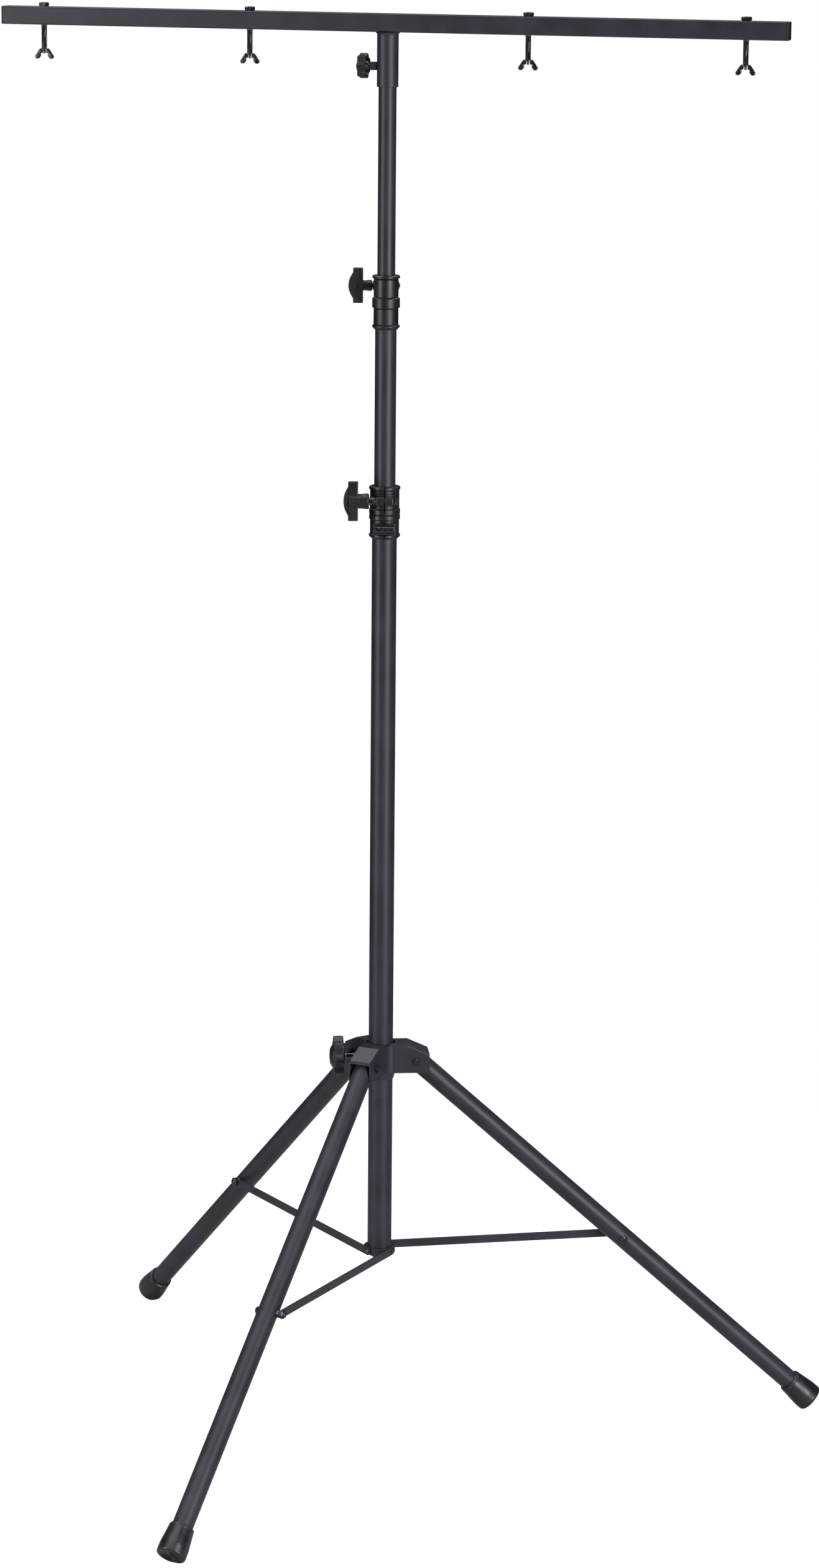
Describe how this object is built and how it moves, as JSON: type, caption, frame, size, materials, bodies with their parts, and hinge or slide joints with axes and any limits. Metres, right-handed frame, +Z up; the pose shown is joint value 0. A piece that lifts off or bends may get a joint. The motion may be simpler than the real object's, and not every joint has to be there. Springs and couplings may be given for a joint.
{
  "type": "lighting stand",
  "caption": "Telescopic tripod stand for stage lights: sliding tubes with split clamps and knobs, a T-bar with bolts and wing nuts for lamps, and braced folding legs on rubber feet.",
  "frame": {"origin": "on the floor, below the middle of the whole stand's box as it is set up", "axes": "+Z up along the mast, +X along the T-bar, +Y square to it"},
  "size_m": [1.1786, 1.0766, 2.0431],
  "materials": {
    "powder_coat": "satin black powder coat, lightly textured",
    "plastic": "moulded black glass-filled nylon, semi-matte",
    "rubber": "satin black moulded rubber",
    "black_steel": "blackened steel fasteners",
    "zinc": "bright zinc plate on turned and threaded steel",
    "nylon": "black sliding nylon"
  },
  "bodies": {
    "base": {"base_tube": "powder_coat", "strut_bracket": "powder_coat", "strut_rivet_right": "black_steel", "strut_rivet_rear": "black_steel", "strut_rivet_front": "black_steel", "lower_clamp": "plastic", "lower_clamp_bush": "nylon", "lower_clamp_nut": "black_steel", "stop_pin": "black_steel"},
    "lower_knob_turns": {"lower_knob": "plastic", "lower_knob_screw": "black_steel"},
    "mid": {"mid_tube": "powder_coat", "mid_guide": "nylon", "upper_clamp": "plastic", "upper_clamp_bush": "nylon", "upper_clamp_nut": "black_steel"},
    "upper_knob_turns": {"upper_knob": "plastic", "upper_knob_screw": "black_steel"},
    "top": {"top_tube": "powder_coat", "top_guide": "nylon"},
    "bar": {"t_bar": "powder_coat", "bar_socket": "powder_coat", "socket_weld_nut": "powder_coat", "end_cap_left": "plastic", "end_cap_right": "plastic", "bar_bolt_1": "black_steel", "bar_bolt_2": "black_steel", "bar_bolt_3": "black_steel", "bar_bolt_4": "black_steel"},
    "socket_knob_turns": {"socket_knob": "plastic", "socket_knob_screw": "zinc"},
    "hub": {"hub_housing": "powder_coat", "hub_bush": "nylon", "pivot_bolt_right": "black_steel", "pivot_bolt_rear": "black_steel", "pivot_bolt_front": "black_steel", "pivot_nut_right": "black_steel", "pivot_nut_rear": "black_steel", "pivot_nut_front": "black_steel"},
    "hub_knob_turns": {"hub_knob": "plastic", "hub_knob_screw": "zinc"},
    "wing_nut_1_body": {"wing_nut_1": "black_steel"},
    "wing_nut_2_body": {"wing_nut_2": "black_steel"},
    "wing_nut_3_body": {"wing_nut_3": "black_steel"},
    "wing_nut_4_body": {"wing_nut_4": "black_steel"},
    "leg_body_right": {"leg_right": "powder_coat", "foot_right": "rubber", "strut_bolt_right": "black_steel"},
    "strut_body_right": {"strut_right": "powder_coat", "strut_nut_right": "black_steel"},
    "leg_body_rear": {"leg_rear": "powder_coat", "foot_rear": "rubber", "strut_bolt_rear": "black_steel"},
    "strut_body_rear": {"strut_rear": "powder_coat", "strut_nut_rear": "black_steel"},
    "leg_body_front": {"leg_front": "powder_coat", "foot_front": "rubber", "strut_bolt_front": "black_steel"},
    "strut_body_front": {"strut_front": "powder_coat", "strut_nut_front": "black_steel"}
  },
  "joints": [
    {"name": "hub_slide", "type": "slide", "parent": "base", "child": "hub", "axis": [0, 0, 1], "range_m": [0, 0.4774]},
    {"name": "mid_slide", "type": "slide", "parent": "base", "child": "mid", "axis": [0, 0, 1], "range_m": [-0.2145, 0.6]},
    {"name": "top_slide", "type": "slide", "parent": "mid", "child": "top", "axis": [0, 0, 1], "range_m": [-0.258, 0.54]},
    {"name": "bar_swivel", "type": "hinge", "parent": "top", "child": "bar", "pos_m": [-0.02852, 0.10652, 2.01246], "axis": [0, 0, 1], "continuous": true},
    {"name": "lower_knob_turn", "type": "hinge", "parent": "base", "child": "lower_knob_turns", "pos_m": [-0.0218, 0.08213, 1.36346], "axis": [-0.9641, -0.2656, 0], "continuous": true},
    {"name": "upper_knob_turn", "type": "hinge", "parent": "mid", "child": "upper_knob_turns", "pos_m": [-0.03457, 0.1285, 1.66106], "axis": [-0.9641, -0.2656, 0], "continuous": true},
    {"name": "socket_knob_turn", "type": "hinge", "parent": "bar", "child": "socket_knob_turns", "pos_m": [-0.02852, 0.10652, 1.96566], "axis": [-1, 0, 0], "continuous": true},
    {"name": "hub_knob_turn", "type": "hinge", "parent": "hub", "child": "hub_knob_turns", "pos_m": [-0.02852, 0.10652, 0.55066], "axis": [-0.9412, -0.3378, 0], "continuous": true},
    {"name": "wing_nut_1_travel", "type": "slide", "parent": "bar", "child": "wing_nut_1_body", "axis": [0, 0, 1], "range_m": [0, 0.031]},
    {"name": "wing_nut_2_travel", "type": "slide", "parent": "bar", "child": "wing_nut_2_body", "axis": [0, 0, 1], "range_m": [0, 0.031]},
    {"name": "wing_nut_3_travel", "type": "slide", "parent": "bar", "child": "wing_nut_3_body", "axis": [0, 0, 1], "range_m": [0, 0.031]},
    {"name": "wing_nut_4_travel", "type": "slide", "parent": "bar", "child": "wing_nut_4_body", "axis": [0, 0, 1], "range_m": [0, 0.031]},
    {"name": "leg_right_fold", "type": "hinge", "parent": "hub", "child": "leg_body_right", "pos_m": [0.01873, 0.12348, 0.54526], "axis": [-0.3378, 0.9412, 0], "range_deg": [0, 48.15]},
    {"name": "strut_right_fold", "type": "hinge", "parent": "base", "child": "strut_body_right", "pos_m": [-0.02852, 0.10652, 0.25766], "axis": [0.3378, -0.9412, 0], "range_deg": [0, 79.97]},
    {"name": "leg_rear_fold", "type": "hinge", "parent": "hub", "child": "leg_body_rear", "pos_m": [-0.06683, 0.13896, 0.54526], "axis": [-0.6463, -0.7631, 0], "range_deg": [0, 48.15]},
    {"name": "strut_rear_fold", "type": "hinge", "parent": "base", "child": "strut_body_rear", "pos_m": [-0.02852, 0.10652, 0.25766], "axis": [0.6463, 0.7631, 0], "range_deg": [0, 79.97]},
    {"name": "leg_front_fold", "type": "hinge", "parent": "hub", "child": "leg_body_front", "pos_m": [-0.03746, 0.05712, 0.54526], "axis": [0.984, -0.1781, 0], "range_deg": [0, 48.15]},
    {"name": "strut_front_fold", "type": "hinge", "parent": "base", "child": "strut_body_front", "pos_m": [-0.02852, 0.10652, 0.25766], "axis": [-0.984, 0.1781, 0], "range_deg": [0, 79.97]}
  ],
  "couplings": [
    {"joint": "leg_right_fold", "follows": "hub_slide", "rad_per_m": 1.7566},
    {"joint": "strut_right_fold", "follows": "hub_slide", "rad_per_m": 2.9186},
    {"joint": "leg_rear_fold", "follows": "hub_slide", "rad_per_m": 1.7566},
    {"joint": "strut_rear_fold", "follows": "hub_slide", "rad_per_m": 2.9186},
    {"joint": "leg_front_fold", "follows": "hub_slide", "rad_per_m": 1.7566},
    {"joint": "strut_front_fold", "follows": "hub_slide", "rad_per_m": 2.9186}
  ]
}
